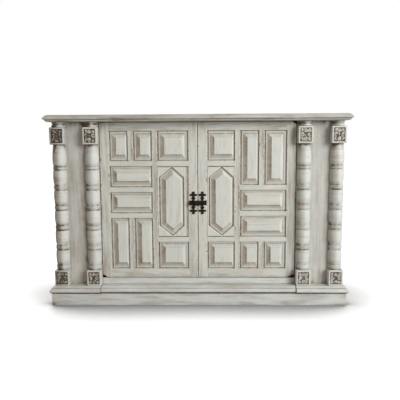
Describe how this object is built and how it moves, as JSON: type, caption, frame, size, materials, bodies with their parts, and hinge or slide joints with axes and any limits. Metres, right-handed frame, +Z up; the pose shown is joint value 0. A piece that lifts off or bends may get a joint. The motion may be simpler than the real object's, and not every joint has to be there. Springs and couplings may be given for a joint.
{
  "type": "two-door sideboard",
  "caption": "Painted colonial sideboard with bobbin-turned half columns, carved blocks, panelled doors with hexagon panels and a wrought sliding latch.",
  "frame": {"origin": "middle of the footprint on the floor", "axes": "+Z up, +X to the right seen from the front, the doors face -Y"},
  "size_m": [1.5, 0.45, 0.955],
  "materials": {
    "painted_wood": "distressed antique white paint with a brown glaze rubbed into the grooves",
    "inside_wood": "bare pine with a thin stain",
    "black_iron": "black wrought iron, matt with dark wax"
  },
  "bodies": {
    "carcass": {"top_board": "painted_wood", "left_side": "painted_wood", "right_side": "painted_wood", "back_panel": "inside_wood", "cabinet_floor": "inside_wood", "shelf": "inside_wood", "door_stop": "inside_wood", "door_sill": "painted_wood", "left_wing_board": "painted_wood", "right_wing_board": "painted_wood", "plinth_front": "painted_wood", "plinth_left": "painted_wood", "plinth_right": "painted_wood", "plinth_back": "inside_wood", "base_moulding_centre": "painted_wood", "base_moulding_left": "painted_wood", "base_moulding_right": "painted_wood", "left_outer_column": "painted_wood", "left_inner_column": "painted_wood", "right_inner_column": "painted_wood", "right_outer_column": "painted_wood", "left_upper_pivot": "black_iron", "left_lower_pivot": "black_iron", "right_upper_pivot": "black_iron", "right_lower_pivot": "black_iron"},
    "left_door": {"left_hinge_stile": "painted_wood", "left_lock_stile": "painted_wood", "left_top_rail": "painted_wood", "left_bottom_rail": "painted_wood", "left_lattice": "painted_wood", "left_hexagon_frame": "painted_wood", "left_hexagon_panel": "painted_wood", "left_small_panel_outer": "painted_wood", "left_small_panel_inner": "painted_wood", "left_square_panel_upper": "painted_wood", "left_square_panel_lower": "painted_wood", "left_wide_panel_upper": "painted_wood", "left_wide_panel_lower": "painted_wood", "left_tall_panel_outer": "painted_wood", "left_tall_panel_inner": "painted_wood", "left_latch_plate": "black_iron", "bolt_guide": "black_iron"},
    "right_door": {"right_hinge_stile": "painted_wood", "right_lock_stile": "painted_wood", "right_top_rail": "painted_wood", "right_bottom_rail": "painted_wood", "right_lattice": "painted_wood", "right_hexagon_frame": "painted_wood", "right_hexagon_panel": "painted_wood", "right_small_panel_outer": "painted_wood", "right_small_panel_inner": "painted_wood", "right_square_panel_upper": "painted_wood", "right_square_panel_lower": "painted_wood", "right_wide_panel_upper": "painted_wood", "right_wide_panel_lower": "painted_wood", "right_tall_panel_outer": "painted_wood", "right_tall_panel_inner": "painted_wood", "right_latch_plate": "black_iron", "bolt_keeper": "black_iron"},
    "bolt": {"latch_bolt": "black_iron"}
  },
  "joints": [
    {"name": "left_door_hinge", "type": "hinge", "parent": "carcass", "child": "left_door", "pos_m": [-0.4725, -0.14, 0.131], "axis": [0, 0, -1], "range_deg": [0, 97]},
    {"name": "right_door_hinge", "type": "hinge", "parent": "carcass", "child": "right_door", "pos_m": [0.4725, -0.14, 0.131], "axis": [0, 0, 1], "range_deg": [0, 97]},
    {"name": "bolt_slide", "type": "slide", "parent": "left_door", "child": "bolt", "axis": [1, 0, 0], "range_m": [0, 0.012]}
  ]
}
